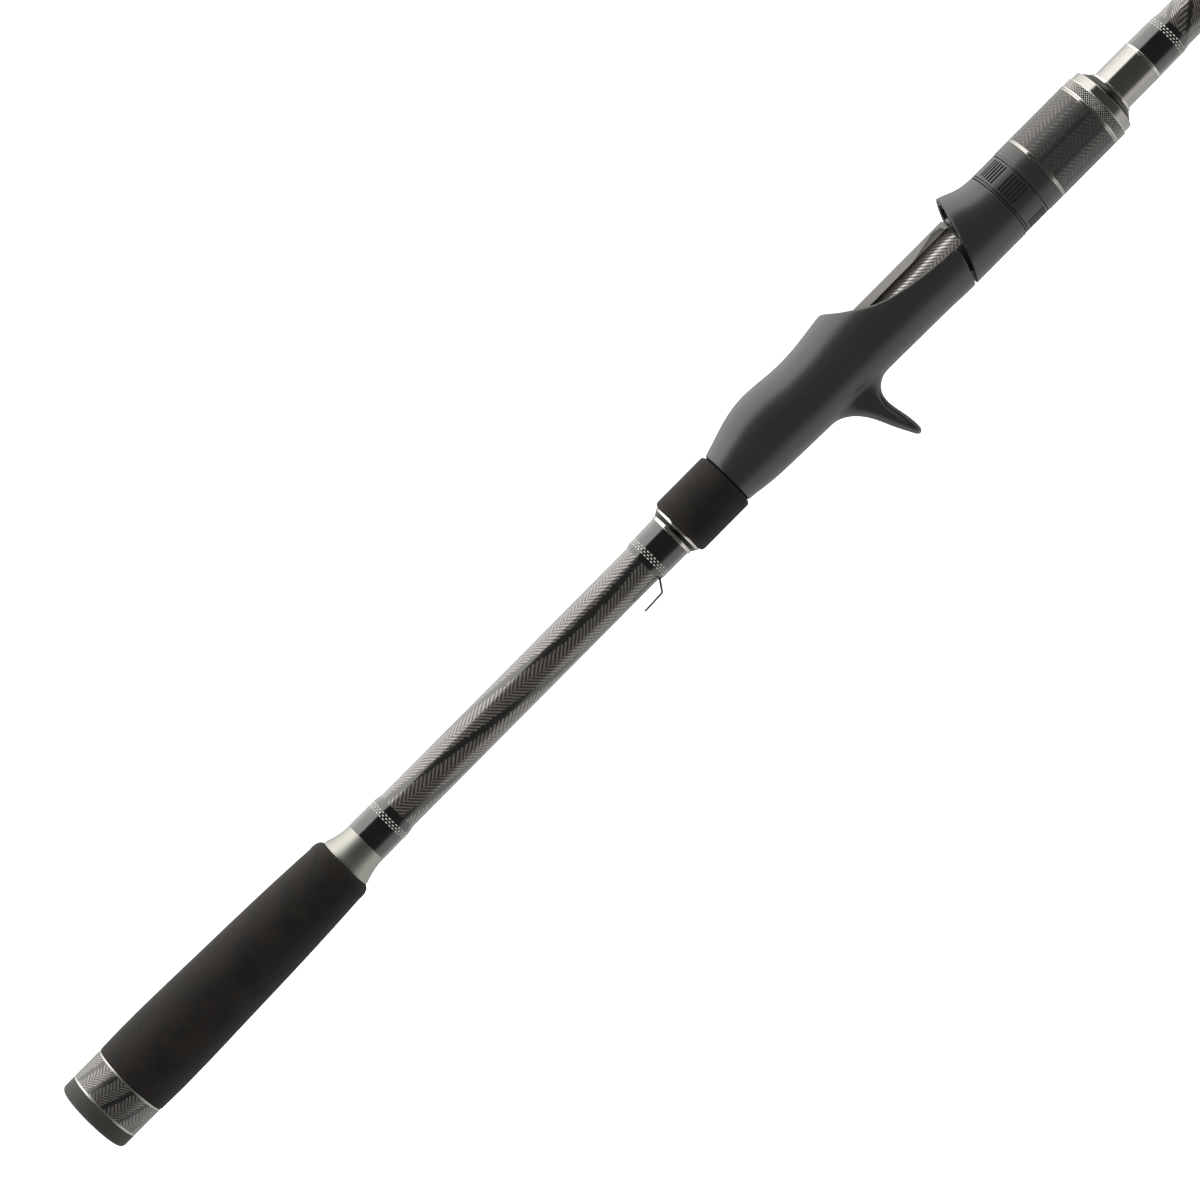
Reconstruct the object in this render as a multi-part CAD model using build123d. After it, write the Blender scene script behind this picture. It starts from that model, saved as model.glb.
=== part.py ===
from build123d import *
import os
from math import cos, radians, sin

# Heavy casting rod with a trigger reel seat and no reel. All lengths are in millimetres.
# X runs along the blank from the butt's end face at 0 to the tip. +Z is the reel's side, and the
# trigger points to -Z.

os.makedirs("parts", exist_ok=True)

# ---------------------------------------------------------------- driving dimensions
ROD_LENGTH = 2134.0          # 7 ft
BLANK_R_BUTT = 7.6
BLANK_R_FORE = 7.45          # where the handle ends and the main taper starts
BLANK_FORE_X = 540.0
BLANK_R_TIP = 1.25
BLANK_WALL_BUTT = 1.5
BLANK_WALL_TIP = 0.65

HANDLE_BORE = 7.65           # bore of every piece that is threaded over the blank
GLUE = 0.05                  # radial glue line between two nested pieces

# stations along the rear handle
CAP_END = 5.9
BUTT_RING_END = 6.8
BUTT_SLEEVE_END = 17.9
GRIP_START = 18.7
GRIP_END = 121.9
REAR_CHECK_END = 132.6
REAR_STITCH_END = 144.7
REAR_WRAP_END = 147.2
CAP_R = 14.35
SLEEVE_R = 14.35
SLEEVE_WALL = 0.6

# stations round the reel seat
KEEPER_WRAP_START = 265.6
SEAT_CHECK_START = 279.0
SEAT_CONE_START = 280.3
SEAT_CONE_END = 281.7
SEAT_GRIP_START = 282.7
SEAT_START = 306.5
SEAT_GRIP_R = 11.3
DECK_Z = 10.1
DECK_HALF_WIDTH = 7.4
DECK_BASE = 7.1
DECK_START = 370.0
DECK_END = 419.4
DECK_WEB = 9.0                # web under the deck, between its two relieved edges
SEAT_BORE = 9.0
HOOD_POCKET_START = 361.5
POCKET_HALF_WIDTH = 4.6
POCKET_TOP = 14.7
BARREL_START = DECK_END
BARREL_END = 470.0
BARREL_R = 9.6
KEYWAY_WIDTH = 3.2
KEYWAY_FLOOR = 8.7

# hood, nut and foregrip
HOOD_TRAVEL = 14.0
HOOD_END = 437.8
HOOD_BORE = 9.7
HOOD_R = 13.4
NUT_START = 438.0
NUT_END = 449.3
NUT_R = 13.2
COLLAR_END = 455.1
NUT_RING_END = 456.5
FOREGRIP_END = 480.3
FORE_RING_END = 481.3
KNURL_END = 485.5
END_COLLAR_END = 492.5
FOREGRIP_R = 13.35
SPIGOT_R = 11.4
SPIGOT_LENGTH = 3.0
RIDGES = 6                   # ridges in one group on the nut
RIDGE_PITCH = 5.8            # degrees
RIDGE_GROUPS = [42, 87, 162, 207, 282, 327]

# tube and wrap in front of the foregrip
FORE_TUBE_R = 8.15
FORE_TUBE_BORE = 7.5
FORE_TUBE_END = HOOD_TRAVEL + END_COLLAR_END + 0.3
END_RING_END = 507.9
FRONT_WRAP_END = 522.2

# guides, counted from the tip
RING_SIZES = [6, 7, 7, 8, 8, 10, 12, 16]
GUIDE_GAP = 94.3             # distance from the tip is GUIDE_GAP * n + GUIDE_SPREAD * n * n
GUIDE_SPREAD = 7.66


# ---------------------------------------------------------------- helpers
def blank_radius(x):
    """Outer radius of the blank: nearly parallel in the handle, then one straight taper."""
    if x < BLANK_FORE_X:
        return BLANK_R_BUTT + (BLANK_R_FORE - BLANK_R_BUTT) * x / BLANK_FORE_X
    share = (x - BLANK_FORE_X) / (ROD_LENGTH - BLANK_FORE_X)
    return BLANK_R_FORE + (BLANK_R_TIP - BLANK_R_FORE) * share


def turned(*outline):
    """A solid turned about X from an outline of (x, radius) points."""
    return revolve(make_face(Plane.XZ * Polyline(*outline, close=True)), Axis.X)


def tube(x0, x1, outer, inner):
    return turned((x0, inner), (x1, inner), (x1, outer), (x0, outer))


def side_cut(outline, half_width=30.0):
    """A prism with an outline of (x, z) points in side view, through the whole width."""
    face = make_face(Plane.XZ * Polyline(*outline, close=True))
    return extrude(face, half_width, both=True)


def block(x0, x1, y0, y1, z0, z1):
    centre = ((x0 + x1) / 2, (y0 + y1) / 2, (z0 + z1) / 2)
    return Pos(*centre) * Box(x1 - x0, y1 - y0, z1 - z0)


def ellipse_at(x, top, bottom, half_width):
    """An upright elliptical section at x, from z = -bottom to z = top."""
    plane = Plane(origin=(x, 0, (top - bottom) / 2), x_dir=(0, 1, 0), z_dir=(1, 0, 0))
    return plane * Ellipse(half_width, (top + bottom) / 2)


def rod_between(start, end, radius):
    """A round rod with flat ends."""
    axis = Vector(*end) - Vector(*start)
    return extrude(Plane(origin=start, z_dir=axis) * Circle(radius), axis.length)


def rounded_ring(x, width, outer, inner):
    """A ring about X with a rounded section, so that a line runs through it without a sharp edge."""
    section = RectangleRounded(width, outer - inner, 0.45 * min(width, outer - inner))
    return revolve(Plane.XZ * Pos(x, (outer + inner) / 2) * section, Axis.X)


def save(name, shape):
    export_step(shape, f"parts/{name}.step")


# ---------------------------------------------------------------- blank and rear handle
def blank_solid():
    """The blank's outer shape without its bore, to cut wraps and guide feet to fit."""
    return turned((0, 0), (0, BLANK_R_BUTT), (BLANK_FORE_X, BLANK_R_FORE),
                  (ROD_LENGTH, BLANK_R_TIP), (ROD_LENGTH, 0))


def make_blank():
    return turned((CAP_END, BLANK_R_BUTT - BLANK_WALL_BUTT),
                  (CAP_END, blank_radius(CAP_END)),
                  (BLANK_FORE_X, BLANK_R_FORE),
                  (ROD_LENGTH, BLANK_R_TIP),
                  (ROD_LENGTH, BLANK_R_TIP - BLANK_WALL_TIP))


def make_butt_cap():
    plug_r = BLANK_R_BUTT - BLANK_WALL_BUTT - GLUE
    plug_length = 9.0
    edge = 1.8
    outline = Polyline((0, 0), (0, CAP_R - edge))
    outline += RadiusArc((0, CAP_R - edge), (edge, CAP_R), edge)
    outline += Polyline((edge, CAP_R), (CAP_END, CAP_R), (CAP_END, plug_r),
                        (CAP_END + plug_length, plug_r), (CAP_END + plug_length, 0), (0, 0))
    return revolve(make_face(Plane.XZ * outline), Axis.X)


def make_rear_grip():
    """Long grip with a slight swell near the butt and a rounded front end."""
    outline = Polyline((GRIP_START, HANDLE_BORE), (GRIP_START, 14.5))
    outline += Spline((GRIP_START, 14.5), (29.5, 14.7), (60, 14.1), (94, 13.1), (117, 11.95))
    outline += Spline((117, 11.95), (120.4, 11.6), (GRIP_END, 10.6))
    outline += Polyline((GRIP_END, 10.6), (GRIP_END, HANDLE_BORE), (GRIP_START, HANDLE_BORE))
    return revolve(make_face(Plane.XZ * outline), Axis.X)


def make_rear_check():
    """Gunmetal winding check with a hollow cone."""
    x0, x1 = GRIP_END, REAR_CHECK_END
    outline = Polyline((x0, HANDLE_BORE), (x0, 10.0), (x0 + 1.2, 9.9))
    outline += Spline((x0 + 1.2, 9.9), (x0 + 5.0, 8.75), (x1, 8.15))
    outline += Polyline((x1, 8.15), (x1, HANDLE_BORE), (x0, HANDLE_BORE))
    return revolve(make_face(Plane.XZ * outline), Axis.X)


def make_wrap(start, start_r, ramp_start, ramp_end):
    """Thread wrap under epoxy on the handle: full at start, tapering to the blank at ramp_end."""
    return turned((start, blank_radius(start)), (start, start_r), (ramp_start, start_r - 0.1),
                  (ramp_end, blank_radius(ramp_end) + 0.05), (ramp_end, blank_radius(ramp_end)))


def make_rear_handle():
    save("blank", make_blank())
    save("butt_cap", make_butt_cap())
    save("butt_trim_ring_rear", tube(CAP_END, BUTT_RING_END, SLEEVE_R, HANDLE_BORE))
    save("butt_sleeve",
         tube(BUTT_RING_END, BUTT_SLEEVE_END, SLEEVE_R, SLEEVE_R - SLEEVE_WALL))
    save("butt_sleeve_core",
         tube(BUTT_RING_END, BUTT_SLEEVE_END, SLEEVE_R - SLEEVE_WALL - GLUE, HANDLE_BORE))
    save("butt_trim_ring_front", tube(BUTT_SLEEVE_END, GRIP_START, SLEEVE_R, HANDLE_BORE))
    save("rear_grip", make_rear_grip())
    save("rear_winding_check", make_rear_check())
    save("rear_wrap", make_wrap(REAR_CHECK_END, 8.2, REAR_STITCH_END, REAR_WRAP_END))


# ---------------------------------------------------------------- hook keeper and seat check
def make_hook_keeper():
    """A narrow wire loop under the blank: both legs come out of the wrap's edge."""
    wire_r = 0.38
    half = 2.2
    foot_z = -((blank_radius(KEEPER_WRAP_START) + wire_r) ** 2 - half ** 2) ** 0.5
    points = [(275, half, foot_z), (266.2, half, foot_z), (263.4, half, -11.6),
              (255, half, -11.9), (255, -half, -11.9), (263.4, -half, -11.6),
              (266.2, -half, foot_z), (275, -half, foot_z)]
    path = FilletPolyline(*points, radius=1.2)
    return sweep(Plane(origin=path @ 0, z_dir=path % 0) * Circle(wire_r), path=path)


def make_seat_check():
    x0 = SEAT_CHECK_START
    save("seat_check_ring_rear", tube(x0, SEAT_CONE_START, 8.7, HANDLE_BORE))
    save("seat_check_cone", turned((SEAT_CONE_START, HANDLE_BORE), (SEAT_CONE_START, 8.7),
                                   (SEAT_CONE_END, 9.6), (SEAT_CONE_END, HANDLE_BORE)))
    save("seat_check_ring_front", turned((SEAT_CONE_END, HANDLE_BORE), (SEAT_CONE_END, 9.6),
                                         (SEAT_GRIP_START, 10.2),
                                         (SEAT_GRIP_START, HANDLE_BORE)))
    grip = tube(SEAT_GRIP_START, SEAT_START, SEAT_GRIP_R, HANDLE_BORE)
    outer = grip.edges().filter_by(GeomType.CIRCLE).group_by(SortBy.RADIUS)[-1]
    save("seat_rear_grip", fillet(outer, 1.7))


# ---------------------------------------------------------------- reel seat
# Sections of the seat: x, top, bottom, half width. The rear is a palm swell, then the fixed hood.
SEAT_SECTIONS = [
    (SEAT_START, 10.6, 10.2, 10.3),
    (312, 12.3, 10.8, 11.1),
    (318, 14.2, 11.5, 11.8),
    (329.3, 16.1, 12.0, 12.6),
    (342, 15.2, 12.4, 12.8),
    (355, 15.4, 12.6, 12.9),
    (367, 16.9, 12.7, 13.1),
    (385, 17.2, 12.85, 13.2),
    (402, 17.2, 13.1, 13.3),
    (420, 17.2, 13.4, 13.4),
]
# Edge that sweeps from the fixed hood's lip down to the shell's side: x, z.
SWOOP = [(367.4, 17.6), (369.4, 15.9), (372.5, 13.0), (376.6, 10.1), (381, 7.2), (385.4, 5.1),
         (392.9, 3.1), (399.7, 1.7), (408.2, 0.8), (422, 0.4)]
# Trigger sections: z, rear edge x, front edge x, half width.
TRIGGER_SECTIONS = [
    (-10.5, 341.0, 376.0, 6.0),
    (-12.6, 346.5, 370.5, 5.3),
    (-15.8, 352.1, 365.2, 4.8),
    (-20.6, 355.8, 363.9, 4.5),
    (-28.2, 359.3, 365.1, 4.2),
    (-32.9, 361.7, 365.5, 3.5),
    (-35.1, 362.8, 365.3, 2.2),
]


def make_trigger():
    sections = Sketch()
    for z, rear, front, half_width in TRIGGER_SECTIONS:
        sections += Pos((rear + front) / 2, 0, z) * Ellipse((front - rear) / 2, half_width)
    tip = Pos(364.05, 0, -34.6) * Sphere(1.2)
    return loft(sections) + tip


def make_seat_body():
    sections = Sketch()
    for x, top, bottom, half_width in SEAT_SECTIONS:
        sections += ellipse_at(x, top, bottom, half_width)
    hull = loft(sections)
    # the swoop opens the upper front half, and a slanted cut ends the lower shell
    above = Spline(*SWOOP) + Polyline(SWOOP[-1], (424, 30), (367.4, 30), SWOOP[0])
    hull -= extrude(make_face(Plane.XZ * above), 30, both=True)
    hull -= side_cut([(412.7, -15), (415.6, -3.6), (415.9, -2.0), (415.7, -0.9), (415.0, 0.0),
                      (413.9, 1.0), (430, 1.0), (430, -15)])
    # pocket of the fixed hood, open to the front, with a stepped ceiling
    hull -= block(HOOD_POCKET_START, 380, -7.4, 7.4, DECK_Z, 12.4)
    hull -= block(HOOD_POCKET_START, 380, -POCKET_HALF_WIDTH, POCKET_HALF_WIDTH, 12, POCKET_TOP)
    # trough between the lower shell and the blank
    hull -= turned((383, 0), (387, 10.0), (409, 10.0), (409, 0))
    # seat for the deck, and the half neck that carries the barrel under it
    hull -= block(DECK_START, DECK_END, -DECK_HALF_WIDTH, DECK_HALF_WIDTH, DECK_BASE, DECK_Z)
    hull += tube(405, DECK_END, BARREL_R - 0.3, 5) - block(400, 430, -20, 20, 0.3, 20)
    hull += make_trigger()
    bore = turned((SEAT_START, 0), (SEAT_START, SEAT_BORE), (366, SEAT_BORE),
                  (368, HANDLE_BORE), (DECK_END, HANDLE_BORE), (DECK_END, 0))
    return hull - bore


def make_deck():
    """Deck under the reel's foot, let into the shell, with a relieved edge on each side."""
    deck = block(DECK_START, DECK_END, -DECK_HALF_WIDTH, DECK_HALF_WIDTH, DECK_BASE, DECK_Z)
    relief = side_cut([(402, 7.0), (414.3, 9.5), (417.5, 8.8), (DECK_END - 0.8, 6.9)])
    deck -= relief - block(400, DECK_END, -DECK_WEB / 2, DECK_WEB / 2, 6, DECK_Z)
    deck -= block(377.4, 417.0, -6.4, 6.4, DECK_Z - 0.15, DECK_Z + 1)
    return deck - tube(DECK_START, DECK_END, HANDLE_BORE, 0)


def make_liner(*ceiling):
    """Thin pressed plate under a hood pocket's ceiling, given as (x, z) points in side view."""
    wall = 0.4
    lower = [(x, z - wall) for x, z in reversed(ceiling)]
    return side_cut(list(ceiling) + lower, POCKET_HALF_WIDTH - GLUE)


def make_barrel():
    """Barrel for the hood and nut, with the keyway that keeps the hood from turning."""
    barrel = tube(BARREL_START, BARREL_END, BARREL_R, HANDLE_BORE)
    groove = block(BARREL_START, BARREL_END, -KEYWAY_WIDTH / 2, KEYWAY_WIDTH / 2,
                   -BARREL_R - 1, -KEYWAY_FLOOR)
    return barrel - groove


def make_reel_seat():
    save("reel_seat_body", make_seat_body())
    save("reel_deck", make_deck())
    save("fixed_hood_liner", make_liner((HOOD_POCKET_START + 1, POCKET_TOP), (370.4, POCKET_TOP)))
    save("seat_arbor_rear", tube(312, 326, SEAT_BORE - GLUE, HANDLE_BORE))
    save("seat_arbor_front", tube(344, 358, SEAT_BORE - GLUE, HANDLE_BORE))
    save("seat_threaded_barrel", make_barrel())


# ---------------------------------------------------------------- hood, nut and foregrip
def make_hood():
    """Movable hood: a sleeve on the barrel with a raised lip over the reel's foot."""
    sections = Sketch()
    for x, top in [(410, 17.0), (419, 17.0), (425, 16.5), (430.3, 14.4), (434, 13.5),
                   (HOOD_END, 13.2)]:
        sections += ellipse_at(x, top, HOOD_R, HOOD_R)
    hood = loft(sections)
    hood -= side_cut([(405, -20), (411.5, -20), (418.5, -1.0), (421.1, 7.4), (424.3, 16.8),
                      (425.3, 20), (405, 20)])
    hood -= tube(400, HOOD_END, HOOD_BORE, 0)
    hood -= block(410, 429, -7.4, 7.4, 0, 12.4)
    ceiling = [(410, 14.8), (424.2, 14.8), (426.4, 14.4), (431, 12.2)]
    hood -= side_cut([(410, 0)] + ceiling + [(431, 0)], POCKET_HALF_WIDTH)
    hood -= tube(HOOD_END - SPIGOT_LENGTH - 0.2, HOOD_END, SPIGOT_R + 0.1, 0)
    key = block(421, HOOD_END - SPIGOT_LENGTH - 0.2, -KEYWAY_WIDTH / 2 + 0.1,
                KEYWAY_WIDTH / 2 - 0.1, -10.0, -KEYWAY_FLOOR - 0.1)
    return hood + key


def make_nut():
    """Nut with three pairs of ridge groups, and a spigot that turns in the hood."""
    nut = tube(NUT_START, NUT_END, NUT_R, HOOD_BORE)
    for groove_x in (NUT_START + 0.6, NUT_END - 1.2):
        nut -= tube(groove_x, groove_x + 0.4, NUT_R + 1, NUT_R - 1.0)
    nut += tube(NUT_START - SPIGOT_LENGTH, NUT_START, SPIGOT_R, HOOD_BORE)
    groove = block(NUT_START + 1.8, NUT_END - 1.9, -0.33, 0.33, NUT_R - 0.55, NUT_R + 1)
    grooves = [Rot(X=centre + RIDGE_PITCH * (index - (RIDGES - 1) / 2)) * groove
               for centre in RIDGE_GROUPS for index in range(RIDGES)]
    return nut - grooves


def make_end_collar():
    """Polished collar with a cone and a thin lip that runs on the fore tube."""
    bore = FORE_TUBE_R + 0.1
    return turned((KNURL_END, bore), (KNURL_END, 12.9), (488.8, 12.8), (491.4, 9.2),
                  (491.6, 8.8), (END_COLLAR_END, 8.8), (END_COLLAR_END, bore))


def make_moving_parts():
    save("movable_hood", make_hood())
    save("movable_hood_liner",
         make_liner((423.8, 14.8), (424.2, 14.8), (426.4, 14.4), (430.4, 12.45)))
    save("locking_nut", make_nut())
    save("nut_collar", tube(NUT_END, COLLAR_END, FOREGRIP_R, HOOD_BORE))
    save("nut_trim_ring_rear", tube(COLLAR_END, NUT_RING_END, FOREGRIP_R, HOOD_BORE))
    save("foregrip_sleeve",
         tube(NUT_RING_END, FOREGRIP_END, FOREGRIP_R, FOREGRIP_R - SLEEVE_WALL))
    save("foregrip_core",
         tube(NUT_RING_END, FOREGRIP_END, FOREGRIP_R - SLEEVE_WALL - GLUE, HOOD_BORE))
    save("nut_trim_ring_front", tube(FOREGRIP_END, FORE_RING_END, FOREGRIP_R, FORE_TUBE_R + 0.1))
    save("knurled_ring", tube(FORE_RING_END, KNURL_END, FOREGRIP_R + 0.05, FORE_TUBE_R + 0.1))
    save("nut_end_collar", make_end_collar())


def make_fore_end():
    save("fore_tube", tube(BARREL_END, FORE_TUBE_END, FORE_TUBE_R, FORE_TUBE_BORE))
    save("fore_tube_end_ring", turned((FORE_TUBE_END, FORE_TUBE_BORE), (FORE_TUBE_END, 8.15),
                                      (FORE_TUBE_END + 0.2, 8.35), (END_RING_END, 8.2),
                                      (END_RING_END, FORE_TUBE_BORE)))
    save("front_wrap", make_wrap(END_RING_END, 8.05, FRONT_WRAP_END - 2.4, FRONT_WRAP_END))


# ---------------------------------------------------------------- guides
def make_guide(number, size, x, blank):
    """Double-foot guide: a ring in a holder, on two legs towards the butt and a brace forwards."""
    ring_r = size * 0.49
    ring_bore = size * 0.36
    ring_width = 1.0 + size * 0.08
    holder_r = ring_r + 0.35 + size * 0.03
    holder_width = ring_width * 0.62
    wire = 0.38 + size * 0.022
    base_r = blank_radius(x)
    centre_z = base_r + 2.2 + size * 0.66
    foot_length = 6.0 + size * 0.45
    spread = 2.0 + size * 0.42

    ring = rounded_ring(x, ring_width, ring_r, ring_bore)
    save(f"guide_ring_{number}", Pos(0, 0, centre_z) * ring)

    holder = tube(x - holder_width / 2, x + holder_width / 2, holder_r, ring_r - 0.5)
    frame = Pos(0, 0, centre_z) * holder
    side_y = holder_r * cos(radians(20))
    side_z = centre_z - holder_r * sin(radians(20))
    rear_foot_x = x - spread
    front_foot_x = x + spread * 1.6
    for side in (-1, 1):
        frame += rod_between((rear_foot_x - 0.5, side * 0.7, base_r), (x, side * side_y, side_z),
                             wire)
    frame += rod_between((front_foot_x + 0.5, 0, base_r), (x, 0, centre_z - holder_r + 0.3),
                         wire * 1.25)
    for foot_x, direction in ((rear_foot_x, -1), (front_foot_x, 1)):
        end_x = foot_x + direction * foot_length
        start_x = foot_x - direction * 0.8
        outline = [(start_x, base_r - 0.6), (start_x, base_r + 0.95), (foot_x, base_r + 1.05),
                   (end_x, base_r + 0.15), (end_x, base_r - 0.6)]
        frame += side_cut(outline, min(1.5, base_r * 0.7))
    frame -= Pos(0, 0, centre_z) * tube(x - ring_width, x + ring_width, ring_r, 0)
    frame -= blank
    save(f"guide_frame_{number}", frame)

    wraps = []
    for foot_x, direction in ((rear_foot_x, -1), (front_foot_x, 1)):
        near = foot_x + direction * 0.4
        far = foot_x + direction * (foot_length + 2.5)
        x0, x1 = min(near, far), max(near, far)
        full = base_r + 0.75
        sleeve = turned((x0, 0), (x0, base_r), (x0 + 1.2, full), (x1 - 1.2, full),
                        (x1, base_r), (x1, 0))
        wraps.append(Pos(0, 0, 0.35) * sleeve - blank - frame)
    save(f"guide_wrap_{number}", Compound(children=[wraps[0].solid(), wraps[1].solid()]))


def make_tip_top(blank):
    """Tube over the blank's end with a ring held clear of it."""
    size = RING_SIZES[0]
    ring_r = size * 0.49
    holder_r = ring_r + 0.55
    tube_start = ROD_LENGTH - 14.0
    tube_r = 2.1
    ring_x = ROD_LENGTH - 1.0
    centre_z = tube_r + holder_r + 0.8
    save("tip_top_ring", Pos(0, 0, centre_z) * rounded_ring(ring_x, 1.6, ring_r, size * 0.36))
    frame = tube(tube_start, ROD_LENGTH + 1.0, tube_r, 0.5) - blank
    frame += Pos(0, 0, centre_z) * tube(ring_x - 0.5, ring_x + 0.5, holder_r, ring_r - 0.4)
    frame += rod_between((ring_x, 0, tube_r - 0.4), (ring_x, 0, centre_z - holder_r + 0.3), 0.5)
    for side in (-1, 1):
        frame += rod_between((tube_start + 2.5, side * 1.2, 1.5),
                             (ring_x, side * holder_r * 0.9, centre_z - holder_r * 0.36), 0.45)
    frame -= Pos(0, 0, centre_z) * tube(ring_x - 2, ring_x + 2, ring_r, 0)
    save("tip_top_frame", frame)


def make_guides():
    blank = blank_solid()
    for number, size in enumerate(RING_SIZES, start=1):
        distance = GUIDE_GAP * number + GUIDE_SPREAD * number ** 2
        make_guide(number, size, ROD_LENGTH - distance, blank)
    make_tip_top(blank)


make_rear_handle()
keeper = make_hook_keeper()
save("hook_keeper", keeper)
keeper_wrap = turned((KEEPER_WRAP_START, blank_radius(KEEPER_WRAP_START)),
                     (KEEPER_WRAP_START, blank_radius(KEEPER_WRAP_START) + 0.05),
                     (267.4, 8.2), (SEAT_CHECK_START, 8.35),
                     (SEAT_CHECK_START, blank_radius(SEAT_CHECK_START)))
save("seat_rear_wrap", keeper_wrap - keeper)
make_seat_check()
make_reel_seat()
make_moving_parts()
make_fore_end()
make_guides()
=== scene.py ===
import math
import random

import bpy
import numpy as np
from mathutils import Matrix, Vector


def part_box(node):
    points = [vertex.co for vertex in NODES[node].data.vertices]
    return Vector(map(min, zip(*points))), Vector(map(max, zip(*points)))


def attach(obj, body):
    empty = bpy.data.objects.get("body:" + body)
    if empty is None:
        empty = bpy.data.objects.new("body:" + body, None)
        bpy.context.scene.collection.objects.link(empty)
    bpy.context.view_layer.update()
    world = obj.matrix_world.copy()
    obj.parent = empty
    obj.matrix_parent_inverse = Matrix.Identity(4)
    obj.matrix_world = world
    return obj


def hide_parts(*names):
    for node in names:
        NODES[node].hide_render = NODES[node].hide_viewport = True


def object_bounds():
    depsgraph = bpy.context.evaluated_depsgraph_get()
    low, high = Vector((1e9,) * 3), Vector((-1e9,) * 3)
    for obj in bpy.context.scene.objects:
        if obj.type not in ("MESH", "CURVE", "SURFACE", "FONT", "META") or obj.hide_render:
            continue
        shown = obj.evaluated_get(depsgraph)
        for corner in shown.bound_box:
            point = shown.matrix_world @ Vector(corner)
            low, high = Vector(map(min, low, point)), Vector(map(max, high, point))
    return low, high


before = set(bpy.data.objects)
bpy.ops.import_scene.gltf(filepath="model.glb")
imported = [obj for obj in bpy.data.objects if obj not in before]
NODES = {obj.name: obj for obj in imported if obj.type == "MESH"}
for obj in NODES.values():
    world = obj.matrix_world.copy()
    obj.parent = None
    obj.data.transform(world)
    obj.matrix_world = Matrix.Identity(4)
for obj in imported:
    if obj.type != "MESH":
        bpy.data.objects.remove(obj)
CAD_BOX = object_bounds()
MM = 0.001
TAU = 2 * math.pi
random.seed(7)


# ----------------------------------------------------------- frame dimensions, in millimetres
def span(node):
    """Lowest and highest x of a CAD node, in millimetres."""
    low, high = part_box(node)
    return low.x / MM, high.x / MM


def reach(node):
    """Largest y of a CAD node, which is the outer radius of a turned piece, in millimetres."""
    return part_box(node)[1].y / MM


BLANK_START, ROD_LENGTH = span("blank")
BLANK_R_BUTT = 7.6
BLANK_R_FORE = 7.45
BLANK_FORE_X = 540.0
BLANK_R_TIP = 1.25


def blank_radius(x):
    """Outer radius of the blank at x, the same two tapers as the CAD blank."""
    if x < BLANK_FORE_X:
        return BLANK_R_BUTT + (BLANK_R_FORE - BLANK_R_BUTT) * x / BLANK_FORE_X
    share = (x - BLANK_FORE_X) / (ROD_LENGTH - BLANK_FORE_X)
    return BLANK_R_FORE + (BLANK_R_TIP - BLANK_R_FORE) * share


# ------------------------------------------------------------------ mesh helpers
def make_object(name, vertices, faces, sharp_degrees=35.0):
    """A smooth-shaded mesh object from millimetre vertices, sharp at edges above an angle."""
    mesh = bpy.data.meshes.new(name)
    mesh.from_pydata([tuple(v) for v in np.asarray(vertices) * MM], [], faces)
    mesh.validate()
    mesh.update()
    mesh.shade_smooth()
    mesh.set_sharp_from_angle(angle=math.radians(sharp_degrees))
    piece = bpy.data.objects.new(name, mesh)
    bpy.context.scene.collection.objects.link(piece)
    return piece


def finish_piece(piece, material, body="root", replaces=()):
    """Gives a piece its material and its body, and hides the CAD nodes it stands for."""
    piece.data.materials.append(material)
    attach(piece, body)
    if replaces:
        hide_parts(*replaces)
    return piece


def rounded_outline(corners, steps=5):
    """A closed outline from (x, radius, fillet) corners, with each fillet turned into an arc."""
    outline = []
    count = len(corners)
    for index in range(count):
        before = Vector(corners[index - 1][:2])
        corner = Vector(corners[index][:2])
        after = Vector(corners[(index + 1) % count][:2])
        fillet = corners[index][2]
        if fillet <= 0:
            outline.append(tuple(corner))
            continue
        into = (before - corner).normalized()
        out = (after - corner).normalized()
        half = into.angle(out) / 2
        cut = min(fillet / math.tan(half), (before - corner).length * 0.49,
                  (after - corner).length * 0.49)
        start, end = corner + into * cut, corner + out * cut
        for step in range(steps + 1):
            t = step / steps
            point = start * (1 - t) ** 2 + corner * (2 * t * (1 - t)) + end * t ** 2
            outline.append(tuple(point))
    return outline


def ring_mesh(outline_at, count, segments):
    """Vertices and faces of a closed outline carried round X, from outline_at(angle)."""
    vertices = []
    for segment in range(segments):
        angle = TAU * segment / segments
        sine, cosine = math.sin(angle), math.cos(angle)
        vertices += [(x, radius * sine, radius * cosine) for x, radius in outline_at(angle)]
    faces = []
    for segment in range(segments):
        here, there = segment * count, (segment + 1) % segments * count
        for index in range(count):
            after = (index + 1) % count
            faces.append((here + index, there + index, there + after, here + after))
    return vertices, faces


def lathe(name, outline, segments=192):
    """A closed ring-like solid turned about X from a closed outline that stays off the axis."""
    vertices, faces = ring_mesh(lambda angle: outline, len(outline), segments)
    return make_object(name, vertices, faces)


def turned_profile(node):
    """The outer profile of a turned CAD node: its largest radius at each x, in millimetres."""
    source = NODES[node]
    radii = {}
    for vertex in source.data.vertices:
        point = source.matrix_world @ vertex.co / MM
        x = round(point.x, 3)
        radii[x] = max(radii.get(x, 0.0), math.hypot(point.y, point.z))
    stations = sorted(radii)
    return stations, [radii[x] for x in stations]


def bore_of(node):
    """Smallest radius of a turned CAD node, in millimetres."""
    source = NODES[node]
    points = [source.matrix_world @ vertex.co / MM for vertex in source.data.vertices]
    return min(math.hypot(point.y, point.z) for point in points)


def collar(node, material, body, edge=0.25):
    """A plain ring of the CAD's size with its two outer edges rounded."""
    x0, x1 = span(node)
    radius, bore = reach(node), bore_of(node)
    outline = rounded_outline([(x0, bore, 0), (x0, radius, edge),
                               (x1, radius, edge), (x1, bore, 0)])
    finish_piece(lathe(f"{node}_turned", outline), material, body, [node])


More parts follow.
